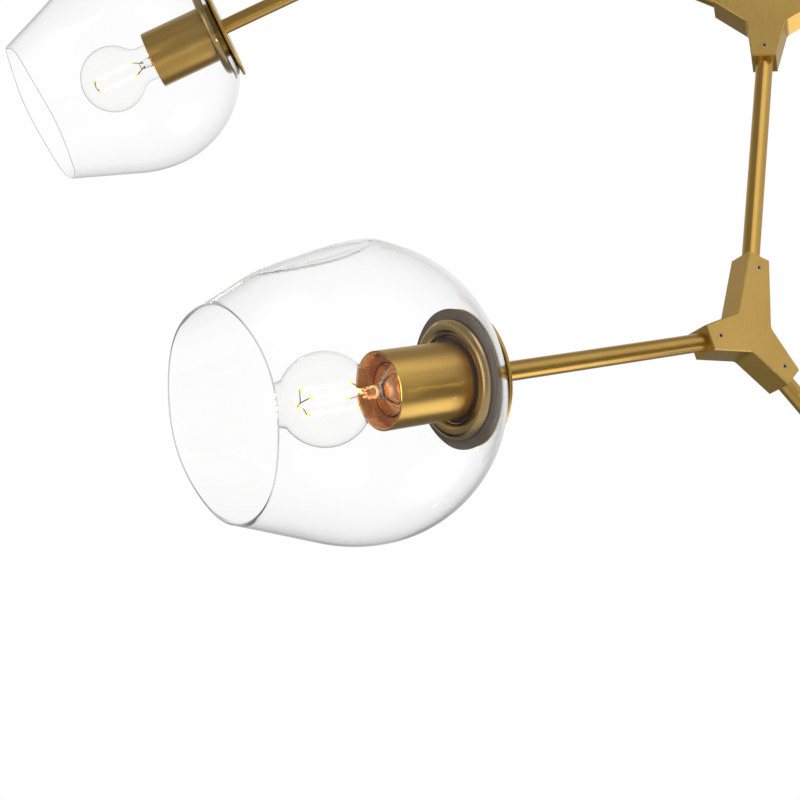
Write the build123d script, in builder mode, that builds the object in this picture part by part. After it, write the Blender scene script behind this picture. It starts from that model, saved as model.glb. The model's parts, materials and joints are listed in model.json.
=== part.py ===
"""Linear sputnik chandelier: a zigzag of three-way brass hubs and rods under one
stem, with bubble glass shades on the free arms. Millimetres, +Z up, +X along
the row, origin on the ceiling at the centre of the bracket."""
import os
from math import acos, asin, atan2, cos, degrees, hypot, radians, sin, sqrt, tan

from build123d import *

os.makedirs("parts", exist_ok=True)

# Rods and hubs
rod_diameter = 10.0
rod_wall = 1.25
rod_play = 0.05
hub_short_arm = 34.0
hub_long_arm = 49.0
hub_end_width = 14.4
hub_crotch_reach = 13.5
hub_crotch_radius = 4.0
hub_thickness = 16.0
hub_edge_break = 0.6
hub_bore_depth = 20.0
wire_passage_diameter = 6.0
wire_diameter = 4.0
wire_swivel_gap = 0.4

# Grub screws that clamp the rods
grub_diameter = 3.0
grub_from_end = 8.0
grub_sink = 0.2
grub_key_across = 1.5
grub_key_depth = 1.4

# How the hubs stand to each other
stem_show = 640.0
link_show = 142.0
lamp_rod_show = 158.0
arm_slope = 30.0
drop_turn = 45.0

# Ceiling bracket, canopy and collar
bracket_width = 22.0
bracket_thickness = 2.5
bracket_step = 10.0
bracket_plate_length = 34.0
slot_spacing = 80.0
slot_length = 20.0
slot_width = 5.0
slot_to_end = 4.0
slot_to_bend = 3.0
nut_across = 17.0
nut_thickness = 6.0
canopy_diameter = 130.0
canopy_depth = 26.0
canopy_wall = 1.2
canopy_edge_radius = 8.0
canopy_ceiling_gap = 0.3
stem_hole_play = 0.3
collar_diameter = 18.0
collar_length = 12.0

# Lamp fittings, in order from the hub to the mouth of the glass
disc_diameter = 69.0
disc_thickness = 2.0
disc_edge_radius = 0.8
cup_diameter = 38.0
cup_wall = 1.2
cup_floor = 2.0
cup_length = 51.0
holder_diameter = 34.0
holder_floor = 16.9
holder_length = 43.5
holder_play = 0.3
gasket_diameter = 69.2
gasket_thickness = 0.8
gasket_play = 0.1
ring_flange = 1.2
ring_thread_play = 0.1
ring_groove_width = 2.4
ring_dome_height = 4.6
ring_dome_width = 8.3

# Bubble glass
glass_wall = 1.6
glass_hole_play = 1.0
glass_seat_diameter = 58.0
glass_belly_diameter = 140.8
glass_belly_from_back = 62.0
glass_front_arc = 85.0
glass_mouth_diameter = 98.0
glass_length = 135.5
glass_rim_radius = 0.7
dent_from_mouth = 45.5
dent_depth = 4.0
dent_radius = 110.0
dent_turn = -14.0
dent_lip_radius = 6.0

# Bulb
cap_diameter = 26.0
cap_length = 26.0
cap_contact_diameter = 9.0
cap_skirt = 4.0
cap_nose = 6.0
bulb_diameter = 44.6
bulb_length = 84.0
bulb_neck_diameter = 24.0
bulb_neck_radius = 10.0
bulb_wall = 0.8
bulb_seat_play = 0.1
bulb_neck_play = 0.05
flare_diameter = 16.0
flare_length = 20.0
flare_tip_diameter = 5.0
filament_count = 4
filament_diameter = 1.8
filament_length = 28.0
filament_circle = 12.0
lead_diameter = 0.8
lead_rise = 3.5

# Places along a lamp arm, measured from the middle of its hub
rod_radius = rod_diameter / 2
rod_hole = rod_radius + rod_play
hub_bore_floor = hub_short_arm - hub_bore_depth
disc_back = hub_short_arm + lamp_rod_show
glass_back = disc_back + disc_thickness
glass_mouth = glass_back + glass_length
glass_floor = glass_back + glass_wall
belly_radius = glass_belly_diameter / 2
belly_height = glass_back + glass_belly_from_back
belly_drop = belly_radius - glass_seat_diameter / 2
back_arc = (glass_belly_from_back**2 + belly_drop**2) / (2 * belly_drop)
back_middle = belly_radius - back_arc
gasket_side = gasket_diameter / 2 + gasket_play - back_middle
gasket_back = belly_height - sqrt((back_arc - glass_wall) ** 2 - gasket_side**2)
ring_back = gasket_back + gasket_thickness
cup_inside = glass_back + cup_floor
cup_mouth = glass_back + cup_length
cap_back = cup_inside + holder_floor + bulb_seat_play
cap_front = cap_back + cap_length
bulb_tip = cap_back + bulb_length
bulb_middle = bulb_tip - bulb_diameter / 2

# Places of the hubs and directions of their arms
link = hub_long_arm + link_show + hub_short_arm
slope_run = cos(radians(arm_slope))
slope_rise = sin(radians(arm_slope))
up = Vector(0, 0, 1)
front = Vector(0, -1, 0)
centre = Vector(0, 0, -(stem_show + hub_long_arm))
drop_along = Vector(cos(radians(drop_turn)), sin(radians(drop_turn)), 0)
drop_front = Vector(sin(radians(drop_turn)), -cos(radians(drop_turn)), 0)


def sloping(along, rise):
    """Unit direction of an arm that leaves its hub sideways, up or down."""
    return along * slope_run + up * (rise * slope_rise)


def hub_place(middle, long_arm, face):
    """Plane of a hub: Y along its long arm, Z out of the face with the screws."""
    return Plane(origin=middle, x_dir=long_arm.cross(face), z_dir=face)


def arm_place(hub_middle, along, upper_side=None):
    """Plane of an arm: Z along the arm, X on its upper side or the side given."""
    return Plane(
        origin=hub_middle, x_dir=upper_side or up - along * up.dot(along), z_dir=along
    )


outward = {"left": Vector(-1, 0, 0), "right": Vector(1, 0, 0)}
inner_middle = {}
outer_middle = {}
drop_middle = {}
for side, away in outward.items():
    inner_middle[side] = centre + sloping(away, -1) * link
    outer_middle[side] = inner_middle[side] + sloping(away, 1) * link
    drop_middle[side] = inner_middle[side] - up * link

centre_hub_places = [hub_place(centre, up, front)]
chain_hub_places = []
for side, away in outward.items():
    chain_hub_places.append(hub_place(inner_middle[side], sloping(-away, 1), front))
    chain_hub_places.append(hub_place(outer_middle[side], sloping(-away, -1), front))
drop_hub_places = {s: [hub_place(drop_middle[s], up, drop_front)] for s in outward}

upper_lamps = []
for side, away in outward.items():
    upper_lamps.append(arm_place(outer_middle[side], sloping(away, -1)))
    upper_lamps.append(arm_place(outer_middle[side], up, front))
drop_lamps = {
    side: [
        arm_place(drop_middle[side], sloping(-drop_along, -1)),
        arm_place(drop_middle[side], sloping(drop_along, -1)),
    ]
    for side in outward
}
all_lamps = drop_lamps["left"] + drop_lamps["right"] + upper_lamps


def write(label, piece, places):
    """Write one node: a copy of the piece at each of its places."""
    with BuildPart() as node:
        with Locations(*[place.location for place in places]):
            add(piece.part)
    node.part.label = label
    export_step(node.part, f"parts/{label}.step")


def arm_ends():
    """Direction and reach of a hub's three arms in its own plane, long one first."""
    for turn, reach in ((0, hub_long_arm), (120, hub_short_arm), (240, hub_short_arm)):
        yield Vector(0, 1, 0).rotate(Axis.Z, turn), reach


# Hub: a flat block with three tapered arms, bored for the rods and the wires
with BuildPart() as hub:
    with BuildSketch():
        with BuildLine():
            corners = []
            for arm, reach in arm_ends():
                across = arm.rotate(Axis.Z, 90) * (hub_end_width / 2)
                corners.append(arm * reach - across)
                corners.append(arm * reach + across)
                corners.append(arm.rotate(Axis.Z, 60) * hub_crotch_reach)
            Polyline(*corners, close=True)
        outline = make_face()
        crotches = outline.vertices().sort_by(SortBy.DISTANCE)[:3]
        fillet(crotches, radius=hub_crotch_radius)
    extrude(amount=hub_thickness / 2, both=True)
    rims = hub.faces().filter_by(Axis.Z).edges()
    chamfer(rims, length=hub_edge_break)
    for arm, reach in arm_ends():
        with Locations(Plane(origin=arm * reach, x_dir=(0, 0, 1), z_dir=arm)):
            Hole(radius=rod_hole, depth=hub_bore_depth)
            Hole(radius=wire_passage_diameter / 2, depth=reach)
        with Locations(arm * (reach - grub_from_end) + up * (hub_thickness / 2)):
            Hole(radius=grub_diameter / 2, depth=hub_thickness / 2 - rod_radius)

# Grub screws of one hub, with their hexagon sockets
with BuildPart() as grub_screws:
    grub_head = hub_thickness / 2 - grub_sink
    for arm, reach in arm_ends():
        middle = arm * (reach - grub_from_end)
        with BuildSketch(Plane(origin=middle + up * rod_hole)):
            Circle(grub_diameter / 2)
        extrude(amount=grub_head - rod_hole)
        with BuildSketch(Plane(origin=middle + up * grub_head)):
            RegularPolygon(grub_key_across / 2, 6, major_radius=False)
        extrude(amount=-grub_key_depth, mode=Mode.SUBTRACT)

write("centre_hub", hub, centre_hub_places)
write("chain_hubs", hub, chain_hub_places)
write("hub_screws", grub_screws, centre_hub_places + chain_hub_places)
for side in outward:
    write(f"{side}_drop_hub", hub, drop_hub_places[side])
    write(f"{side}_drop_screws", grub_screws, drop_hub_places[side])


def tube(start, end, outer, inner):
    """Straight tube along Z, between two heights."""
    with BuildPart() as piece:
        with BuildSketch(Plane.XY.offset(start)):
            Circle(outer)
            if inner > 0:
                Circle(inner, mode=Mode.SUBTRACT)
        extrude(amount=end - start)
    return piece


# Rods: links between hubs start in a short arm and end in the next hub's long arm
link_end = link - hub_long_arm + hub_bore_depth
link_rod = tube(hub_bore_floor, link_end, rod_radius, rod_radius - rod_wall)
lamp_rod = tube(hub_bore_floor, cup_inside, rod_radius, rod_radius - rod_wall)
chain_rods = []
drop_rods = []
for side, away in outward.items():
    chain_rods.append(arm_place(centre, sloping(away, -1)))
    chain_rods.append(arm_place(inner_middle[side], sloping(away, 1)))
    drop_rods.append(arm_place(inner_middle[side], -up, front))

write("chain_rods", link_rod, chain_rods)
write("drop_rods", link_rod, drop_rods)
write("upper_lamp_rods", lamp_rod, upper_lamps)
for side in outward:
    write(f"{side}_lamp_rods", lamp_rod, drop_lamps[side])

# Stem from the bracket to the long arm of the centre hub
stem_foot = centre.Z + hub_long_arm - hub_bore_depth
stem_top = -bracket_step + nut_thickness + bracket_thickness
stem = tube(stem_foot, stem_top, rod_radius, rod_radius - rod_wall)
write("stem", stem, [Plane.XY])

# Wires: one run along the middle of each tube, meeting in the hubs
drop_wire_start = hub_long_arm - hub_bore_depth
link_wire = tube(0, link, wire_diameter / 2, 0)
drop_link_wire = tube(0, link - drop_wire_start - wire_swivel_gap, wire_diameter / 2, 0)
lamp_wire = tube(0, cup_inside, wire_diameter / 2, 0)
stem_wire = tube(centre.Z, stem_top, wire_diameter / 2, 0)
drop_hub_wire = tube(0, drop_wire_start, wire_diameter / 2, 0)


def write_wires(label, runs):
    """Write one node of wires from pieces and their places."""
    with BuildPart() as node:
        for piece, places in runs:
            with Locations(*[place.location for place in places]):
                add(piece.part)
    node.part.label = label
    export_step(node.part, f"parts/{label}.step")


write_wires("wiring", [
    (stem_wire, [Plane.XY]),
    (link_wire, chain_rods),
    (drop_link_wire, drop_rods),
    (lamp_wire, upper_lamps),
])
for side in outward:
    write_wires(f"{side}_drop_wiring", [
        (drop_hub_wire, [Plane(origin=drop_middle[side])]),
        (lamp_wire, drop_lamps[side]),
    ])

# Ceiling bracket: a strap stepped down in the middle, slotted for the box screws
with BuildPart() as ceiling_bracket:
    with BuildSketch(Plane.XZ):
        half = (slot_spacing + slot_length) / 2 + slot_to_end
        foot = (slot_spacing - slot_length) / 2 - slot_to_bend
        plate = bracket_plate_length / 2
        with BuildLine():
            Polyline(
                (-half, 0), (-foot, 0), (-plate, -bracket_step),
                (plate, -bracket_step), (foot, 0), (half, 0),
            )
            offset(amount=-bracket_thickness, side=Side.RIGHT, closed=True)
        make_face()
    extrude(amount=bracket_width / 2, both=True)
    with BuildSketch(Plane.XY):
        with Locations((-slot_spacing / 2, 0), (slot_spacing / 2, 0)):
            SlotOverall(slot_length, slot_width)
    extrude(amount=-bracket_thickness, mode=Mode.SUBTRACT)
    with Locations((0, 0, -bracket_step)):
        Hole(radius=rod_hole, depth=bracket_thickness)
write("ceiling_bracket", ceiling_bracket, [Plane.XY])

# Two hexagon nuts that hold the stem in the bracket
with BuildPart() as stem_nuts:
    for seat, side_up in ((-bracket_step, 1), (-bracket_step - bracket_thickness, -1)):
        with BuildSketch(Plane.XY.offset(seat)):
            RegularPolygon(nut_across / 2, 6, major_radius=False)
            Circle(rod_hole, mode=Mode.SUBTRACT)
        extrude(amount=side_up * nut_thickness)
write("stem_nuts", stem_nuts, [Plane.XY])

# Canopy: a shallow round cover that hides the bracket
with BuildPart() as canopy_cover:
    with BuildSketch(Plane.XY.offset(-canopy_depth)):
        Circle(canopy_diameter / 2)
    extrude(amount=canopy_depth - canopy_ceiling_gap)
    fillet(canopy_cover.edges().group_by(Axis.Z)[0], radius=canopy_edge_radius)
    offset(amount=-canopy_wall, openings=canopy_cover.faces().sort_by(Axis.Z)[-1])
    with BuildSketch(Plane.XY.offset(-canopy_depth)):
        Circle(rod_radius + stem_hole_play)
    extrude(amount=canopy_depth, mode=Mode.SUBTRACT)
write("canopy_cover", canopy_cover, [Plane.XY])

# Collar that holds the canopy up on the stem, with its own grub screw
with BuildPart() as canopy_collar:
    with BuildSketch(Plane.XY.offset(-canopy_depth)):
        Circle(collar_diameter / 2)
        Circle(rod_hole, mode=Mode.SUBTRACT)
    extrude(amount=-collar_length)
    collar_rim = canopy_collar.edges().group_by(Axis.Z)[0]
    chamfer(collar_rim.sort_by(SortBy.LENGTH)[-1:], length=hub_edge_break)
    collar_middle = -canopy_depth - collar_length / 2
    collar_side = Plane(origin=(0, -collar_diameter / 2, collar_middle), z_dir=front)
    with Locations(collar_side):
        Hole(radius=grub_diameter / 2, depth=collar_diameter / 2 - rod_radius)
write("canopy_collar", canopy_collar, [Plane.XY])

with BuildPart() as collar_screw:
    screw_length = collar_diameter / 2 - grub_sink - rod_hole
    screw_face = collar_side.offset(-grub_sink)
    with BuildSketch(screw_face):
        Circle(grub_diameter / 2)
    extrude(amount=-screw_length)
    with BuildSketch(screw_face):
        RegularPolygon(grub_key_across / 2, 6, major_radius=False)
    extrude(amount=-grub_key_depth, mode=Mode.SUBTRACT)
write("collar_screw", collar_screw, [Plane.XY])

# Back disc of a lamp, behind the glass
with BuildPart() as back_disc:
    with BuildSketch(Plane.XY.offset(disc_back)):
        Circle(disc_diameter / 2)
        Circle(rod_hole, mode=Mode.SUBTRACT)
    extrude(amount=disc_thickness)
    disc_rims = back_disc.edges().filter_by(GeomType.CIRCLE)
    fillet(disc_rims.group_by(SortBy.RADIUS)[-1], radius=disc_edge_radius)

# Lamp cup: a straight brass cup round the lampholder
with BuildPart() as cup:
    with BuildSketch(Plane.XY.offset(glass_back)):
        Circle(cup_diameter / 2)
    extrude(amount=cup_length)
    with BuildSketch(Plane.XY.offset(cup_mouth)):
        Circle(cup_diameter / 2 - cup_wall)
    extrude(amount=cup_inside - cup_mouth, mode=Mode.SUBTRACT)
    with Locations((0, 0, cup_inside)):
        Hole(radius=rod_hole, depth=cup_floor)

# Lampholder: a moulded body with the screw shell's bore
with BuildPart() as lampholder:
    with BuildSketch(Plane.XY.offset(cup_inside)):
        Circle(holder_diameter / 2)
    extrude(amount=holder_length)
    with BuildSketch(Plane.XY.offset(cup_inside + holder_length)):
        Circle(cap_diameter / 2 + holder_play)
    extrude(amount=holder_floor - holder_length, mode=Mode.SUBTRACT)

# Gasket: a flat rubber washer that rests with its edge on the round of the glass
with BuildPart() as gasket:
    with BuildSketch(Plane.XY.offset(gasket_back)):
        Circle(gasket_diameter / 2)
        Circle(cup_diameter / 2 + ring_thread_play, mode=Mode.SUBTRACT)
    extrude(amount=gasket_thickness)

# Retaining ring: a domed brass ring on the cup's thread, with a groove round the cup
with BuildPart() as retaining_ring:
    cup_side = cup_diameter / 2 + ring_thread_play
    groove_side = cup_side + ring_groove_width
    dome_side = groove_side + ring_dome_width
    with BuildSketch(Plane.XZ):
        with BuildLine():
            flange_top = ring_back + ring_flange
            Polyline(
                (groove_side, flange_top), (cup_side, flange_top), (cup_side, ring_back),
                (dome_side, ring_back), (dome_side, flange_top),
            )
            EllipticalCenterArc(
                ((groove_side + dome_side) / 2, flange_top),
                ring_dome_width / 2, ring_dome_height - ring_flange,
                start_angle=0, arc_size=180,
            )
        make_face()
    revolve(axis=Axis.Z)


def bubble(wall):
    """Solid bubble of the shade's outside, or of its inside when wall is given."""
    floor = glass_back + wall
    back_reach = back_arc - wall
    back_turn = degrees(asin((belly_height - floor) / back_reach))
    front_middle = belly_radius - glass_front_arc
    aside = glass_mouth_diameter / 2 - front_middle
    rise = glass_mouth - belly_height
    front_turn = degrees(atan2(rise, aside) - acos(glass_front_arc / hypot(aside, rise)))
    with BuildPart() as body:
        with BuildSketch(Plane.XZ):
            with BuildLine():
                back_curve = CenterArc((back_middle, belly_height), back_reach, -back_turn, back_turn)
                front_curve = CenterArc(
                    (front_middle, belly_height), glass_front_arc - wall, 0, front_turn
                )
                front_end = front_curve @ 1
                mouth = front_end.X - (glass_mouth - front_end.Y) * tan(radians(front_turn))
                Polyline(
                    front_end, (mouth, glass_mouth), (0, glass_mouth), (0, floor), back_curve @ 0
                )
            make_face()
        revolve(axis=Axis.Z)
        dent_height = glass_mouth - dent_from_mouth
        lift = dent_height - belly_height
        skin = front_middle + sqrt(glass_front_arc**2 - lift**2)
        dent_reach = skin - dent_depth + dent_radius
        dent_side = Vector(dent_reach, 0, dent_height).rotate(Axis.Z, dent_turn)
        with Locations(dent_side):
            Sphere(dent_radius + wall, mode=Mode.SUBTRACT)
        lip = body.edges().filter_by(lambda edge: edge.geom_type == GeomType.BSPLINE)
        fillet(lip, radius=dent_lip_radius + wall)
    return body


# Glass shade: an open blown bubble with one side pressed in, held by its flat back
glass_outside = bubble(0)
glass_inside = bubble(glass_wall)
with BuildPart() as glass_shade:
    add(glass_outside.part)
    add(glass_inside.part, mode=Mode.SUBTRACT)
    with Locations((0, 0, glass_floor)):
        Hole(radius=cup_diameter / 2 + glass_hole_play, depth=glass_wall)
    mouth_edges = glass_shade.edges().group_by(Axis.Z)[-1]
    fillet(mouth_edges, radius=glass_rim_radius)


def bulb_outline(wall):
    """Profile of the bulb's envelope, from the cut end of its neck to its tip."""
    neck = bulb_neck_diameter / 2 - wall
    ball = bulb_diameter / 2 - wall
    throat = bulb_neck_radius + wall
    throat_side = neck + throat
    throat_height = bulb_middle - sqrt((ball + throat) ** 2 - throat_side**2)
    share = ball / (ball + throat)
    meet = (throat_side * share, bulb_middle - (bulb_middle - throat_height) * share)
    turn = degrees(asin((bulb_middle - throat_height) / (ball + throat)))
    neck_line = Line((neck, cap_front - cap_skirt), (neck, throat_height))
    throat_arc = CenterArc((throat_side, throat_height), throat, 180, -turn)
    ball_arc = CenterArc((0, bulb_middle), ball, -turn, 90 + turn)
    return neck_line, throat_arc, ball_arc


# Bulb envelope: a round clear bulb with a necked foot
with BuildPart() as bulb_glass:
    with BuildSketch(Plane.XZ):
        with BuildLine():
            outer_line, outer_throat, outer_ball = bulb_outline(0)
            inner_line, inner_throat, inner_ball = bulb_outline(bulb_wall)
            Line(outer_line @ 0, inner_line @ 0)
            Line(outer_ball @ 1, inner_ball @ 1)
        make_face()
    revolve(axis=Axis.Z)

# Bulb core: the screw cap, the glass flare and the filaments on their leads
with BuildPart() as bulb_core:
    with BuildSketch(Plane.XZ):
        with BuildLine():
            skirt_floor = cap_front - cap_skirt
            skirt_hole = bulb_neck_diameter / 2 + bulb_neck_play
            flare_top = skirt_floor + flare_length
            Polyline(
                (0, cap_back), (cap_contact_diameter / 2, cap_back),
                (cap_diameter / 2, cap_back + cap_nose), (cap_diameter / 2, cap_front),
                (skirt_hole, cap_front), (skirt_hole, skirt_floor),
                (flare_diameter / 2, skirt_floor), (flare_tip_diameter / 2, flare_top),
                (0, flare_top), close=True,
            )
        make_face()
    revolve(axis=Axis.Z)
    filament_foot = flare_top + lead_rise
    for turn in range(filament_count):
        around = Vector(1, 0, 0).rotate(Axis.Z, turn * 360 / filament_count)
        lead_root = around * (flare_tip_diameter / 4) + up * (flare_top - lead_rise)
        foot_end = around * (filament_circle / 2) + up * filament_foot
        tip_end = foot_end + up * filament_length
        for start, end, width in (
            (lead_root, foot_end, lead_diameter),
            (foot_end, tip_end, filament_diameter),
        ):
            run = end - start
            with BuildSketch(Plane(origin=start, z_dir=run)):
                Circle(width / 2)
            extrude(amount=run.length)

for group, lamps in {
    "upper": upper_lamps, "left": drop_lamps["left"], "right": drop_lamps["right"],
}.items():
    write(f"{group}_back_discs", back_disc, lamps)
    write(f"{group}_cups", cup, lamps)
    write(f"{group}_lampholders", lampholder, lamps)
    write(f"{group}_gaskets", gasket, lamps)
    write(f"{group}_rings", retaining_ring, lamps)
for number, lamp in enumerate(all_lamps, start=1):
    write(f"glass_shade_{number}", glass_shade, [lamp])
    write(f"bulb_glass_{number}", bulb_glass, [lamp])
    write(f"bulb_core_{number}", bulb_core, [lamp])
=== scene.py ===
# %% [markdown]
# # Dressing a linear sputnik chandelier
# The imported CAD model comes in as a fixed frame: brass hubs and rods in a zigzag,
# with a pressed glass bubble and a clear bulb on every free arm. This lesson gives
# each surface its finish and replaces the plain glass, bulb and lamp fittings by
# finer pieces that sit exactly where the solids sit.

# %% Load the frame
import json
import math

import bmesh
import bpy
import numpy as np
from mathutils import Matrix, Vector


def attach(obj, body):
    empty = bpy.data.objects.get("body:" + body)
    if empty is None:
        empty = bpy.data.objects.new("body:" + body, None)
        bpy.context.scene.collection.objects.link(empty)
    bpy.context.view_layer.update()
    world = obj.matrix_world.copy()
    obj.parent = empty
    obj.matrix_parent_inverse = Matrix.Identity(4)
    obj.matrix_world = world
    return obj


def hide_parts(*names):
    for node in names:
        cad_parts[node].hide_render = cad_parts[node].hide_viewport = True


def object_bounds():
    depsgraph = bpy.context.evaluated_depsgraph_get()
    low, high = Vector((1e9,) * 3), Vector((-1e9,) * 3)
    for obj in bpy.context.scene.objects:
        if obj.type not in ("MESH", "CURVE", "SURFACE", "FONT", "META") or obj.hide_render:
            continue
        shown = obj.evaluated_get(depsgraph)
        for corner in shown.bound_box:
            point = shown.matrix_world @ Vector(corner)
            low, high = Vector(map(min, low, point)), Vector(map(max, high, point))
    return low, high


MM = 0.001
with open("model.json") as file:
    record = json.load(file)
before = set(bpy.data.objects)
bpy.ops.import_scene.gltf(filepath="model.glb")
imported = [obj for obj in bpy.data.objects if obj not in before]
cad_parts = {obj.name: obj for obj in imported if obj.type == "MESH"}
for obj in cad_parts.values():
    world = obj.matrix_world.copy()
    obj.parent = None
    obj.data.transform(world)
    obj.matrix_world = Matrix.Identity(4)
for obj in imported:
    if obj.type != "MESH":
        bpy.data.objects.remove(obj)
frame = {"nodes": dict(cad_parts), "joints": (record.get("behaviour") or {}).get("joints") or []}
cad_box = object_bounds()
nodes = frame["nodes"]
joints = {joint["name"]: joint for joint in frame["joints"]}

# %% [markdown]
# ## Where the lamps are
# Nothing is placed by eye. The hinges give the middles of the two hanging hubs, the
# bulb slides give the direction of each lamp, and the zigzag's slope gives the rest.
# A lamp frame is a matrix with Z along the arm and X on the arm's upper side, so a
# fitting can be drawn once, upright, and then carried to all eight arms.

# %% Lamp frames and hub frames
UP = Vector((0, 0, 1))
FRONT = Vector((0, -1, 0))
ARM_SLOPE = math.radians(30)
SIDES = {"left": Vector((-1, 0, 0)), "right": Vector((1, 0, 0))}
NEARLY_UPRIGHT = 0.99
LAMP_COUNT = 8
HANGING_LAMPS = 4
LEFT_LAMPS = (1, 2, 5, 6)


def axes(origin, x, z):
    """Matrix with the given origin, X and Z."""
    x, z = x.normalized(), z.normalized()
    turn = Matrix((x, z.cross(x), z)).transposed()
    return Matrix.Translation(origin) @ turn.to_4x4()


def sloping(away, rise):
    """Direction of an arm that leaves its hub sideways, up or down."""
    return away * math.cos(ARM_SLOPE) + UP * (rise * math.sin(ARM_SLOPE))


def lamp_frame(middle, along):
    """Frame of a lamp arm, from the middle of its hub."""
    upper = FRONT if along.z > NEARLY_UPRIGHT else UP - along * UP.dot(along)
    return axes(middle, upper, along)


def hub_frame(middle, long_arm, face):
    """Frame of a hub: Y along its long arm, Z out of the face with the screws."""
    return axes(middle, long_arm.cross(face), face)


drop_middle = {s: Vector(joints[f"{s}_drop_swivel"]["pos_m"]) for s in SIDES}
link = abs(drop_middle["left"].x) / math.cos(ARM_SLOPE)
inner_middle = {s: drop_middle[s] + UP * link for s in SIDES}
outer_middle = {s: inner_middle[s] + sloping(SIDES[s], 1) * link for s in SIDES}
centre_middle = inner_middle["left"] - sloping(SIDES["left"], -1) * link

lamps = {}
for number in range(1, LAMP_COUNT + 1):
    side = "left" if number in LEFT_LAMPS else "right"
    hangs = number <= HANGING_LAMPS
    middle = drop_middle[side] if hangs else outer_middle[side]
    along = Vector(joints[f"bulb_{number}_draw"]["axis"]).normalized()
    lamps[number] = {
        "group": side if hangs else "upper",
        "body": f"{side}_drop" if hangs else "frame",
        "place": lamp_frame(middle, along),
    }
drop_face = Vector((1, -1, 0)).normalized()
hub_frames = {
    "frame": [hub_frame(centre_middle, UP, FRONT)],
    "left_drop": [hub_frame(drop_middle["left"], UP, drop_face)],
    "right_drop": [hub_frame(drop_middle["right"], UP, drop_face)],
}
for side, away in SIDES.items():
    hub_frames["frame"].append(hub_frame(inner_middle[side], sloping(-away, 1), FRONT))
    hub_frames["frame"].append(hub_frame(outer_middle[side], sloping(-away, -1), FRONT))
print("link", round(link, 4), "m, lamps", len(lamps))

# %% [markdown]
# ## Camera
# The photographed hub's corners and rods fix where the camera stood: low, in front of
# the hanging hub on the left, looking up past it. The lens takes the picture's field.

# %% Camera
EYE_FROM_HUB = Vector((89.14, -810.5, -492.0)) * MM
EYE_RIGHT = Vector((0.9572, 0.2445, 0.1554))
EYE_UP = Vector((-0.0170, -0.4881, 0.8726))
LENS_MM, SENSOR_MM = 76.5, 36
CLIP_FROM = 0.02

camera_data = bpy.data.cameras.new("camera")
camera_data.lens = LENS_MM
camera_data.sensor_width = SENSOR_MM
camera_data.clip_start = CLIP_FROM
camera = bpy.data.objects.new("camera", camera_data)
bpy.context.scene.collection.objects.link(camera)
eye = drop_middle["left"] + EYE_FROM_HUB
camera.matrix_world = axes(eye, EYE_RIGHT, EYE_RIGHT.cross(EYE_UP))
bpy.context.scene.camera = camera
print("camera at", [round(v, 3) for v in eye])

# %% [markdown]
# ## Studio
# A product photo on white has two sides to it: what the camera sees, and what the metal
# sees. Both are one world here, and the Light Path node tells them apart. Trees are
# built with three small helpers, which the finishes further down use as well.


# %% Node helpers
def feed(tree, node, inputs):
    """Link inputs of a node to sockets, or give them fixed values, by their labels."""
    for label, value in inputs.items():
        if isinstance(value, bpy.types.NodeSocket):
            tree.links.new(value, node.inputs[label])
        elif value is not None:
            node.inputs[label].default_value = value


def add_node(tree, kind, inputs=None, **settings):
    """New node of the given kind, with its properties and inputs set."""
    node = tree.nodes.new(kind)
    for name, value in settings.items():
        setattr(node, name, value)
    feed(tree, node, inputs or {})
    return node


def number_node(tree, operation, first, second=None, clamp=False):
    """Output of a Math node whose inputs are sockets or plain numbers."""
    inputs = {0: first, 1: second}
    node = add_node(tree, "ShaderNodeMath", inputs, operation=operation, use_clamp=clamp)
    return node.outputs[0]


print("node helpers ready")

# %% [markdown]
# ### The world
# The background is white for the camera. Seen straight through the glass it is a little
# darker towards the zenith and the ground, which gives the glass its grey edges.
# Metal shows its surroundings, so reflections see a grey world with soft patches:
# bright ones in front, low behind and at the backdrop, dark ones overhead, at the sides
# and where the camera stands. They give the brass its bands and the glass light rims.


# %% World
def lobe(tree, direction, towards, inner, outer):
    """Soft patch of sky: 1 within the inner angle of a direction, 0 past the outer."""
    both = {0: direction, 1: Vector(towards).normalized()}
    dot = add_node(tree, "ShaderNodeVectorMath", both, operation="DOT_PRODUCT")
    ramp = add_node(tree, "ShaderNodeMapRange", {
        "Value": dot.outputs["Value"],
        "From Min": math.cos(math.radians(outer)), "From Max": math.cos(math.radians(inner)),
    }, interpolation_type="SMOOTHSTEP")
    return ramp.outputs["Result"]


# A patch has a direction, the angles in degrees where it is full and gone, and a gain
SKY_LEVEL = 0.6
SKY_PATCHES = (
    ((0.34, -0.66, 0.6), 10, 31, 0.75),
    ((0.8, -0.1, 0.55), 10, 26, 0.22),
    ((0.66, 0.61, -0.43), 8, 25, 1.5),
    ((0.17, -0.05, 0.99), 12, 35, -0.24),
    ((0.97, 0.1, -0.14), 12, 32, -0.4),
    ((-0.5, -0.65, 0.5), 20, 45, -0.32),
    ((-0.35, 0.85, -0.3), 28, 62, -0.42),
    ((0.0, -0.93, -0.35), 18, 50, -0.3),
    ((-0.7, 0.25, 0.6), 15, 40, -0.14),
    ((-0.29, 0.84, 0.46), 12, 38, 0.32),
    ((-0.6, -0.66, -0.45), 8, 24, 0.8),
    ((-0.98, 0.12, -0.14), 12, 36, -0.34),
)
SEEN_LEVEL = 1.0
SEEN_PATCHES = (((0, 0, 1), 15, 50, -0.25), ((0, 0, -1), 40, 85, -0.12))
NO_REFLECTION = 0.5
world = bpy.data.worlds.new("studio")
bpy.context.scene.world = world
world.use_nodes = True
sky = world.node_tree
sky.nodes.clear()
sky_direction = add_node(sky, "ShaderNodeTexCoord").outputs["Generated"]


def patched(level, patches):
    """Level of the sky with soft patches added to it."""
    for towards, inner, outer, gain in patches:
        patch = lobe(sky, sky_direction, towards, inner, outer)
        patch = number_node(sky, "MULTIPLY", patch, gain)
        level = number_node(sky, "ADD", patch, level)
    return level


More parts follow.
